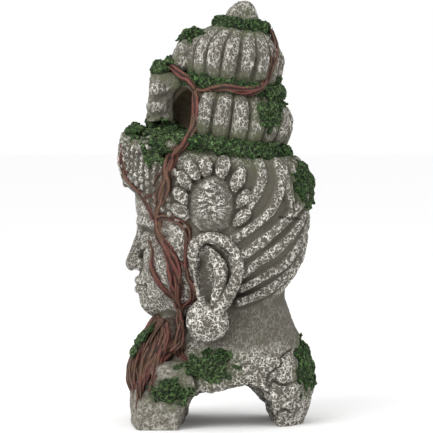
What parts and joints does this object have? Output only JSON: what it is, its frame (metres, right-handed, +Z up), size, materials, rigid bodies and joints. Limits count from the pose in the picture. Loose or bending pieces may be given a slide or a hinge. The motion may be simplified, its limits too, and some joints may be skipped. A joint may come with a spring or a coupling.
{
  "type": "cast deity head aquarium ornament",
  "caption": "Overgrown stone-look deity head with a tall tiered crown, roots and moss, resting on a base with a swim-through arch and a cave in the crown.",
  "frame": {"origin": "middle of the outline on the floor the ornament rests on", "axes": "+Z up through the crown, -Y the way the face looks, +X the head's left side, which carries most roots"},
  "size_m": [0.0806, 0.0924, 0.2],
  "materials": {
    "stone": "matte painted resin with light dry-brushed ridges",
    "moss": "matte painted resin moss in two greens",
    "roots": "matte painted resin roots with reddish brown highlights"
  },
  "bodies": {
    "root": {"statue": "stone"}
  },
  "joints": []
}
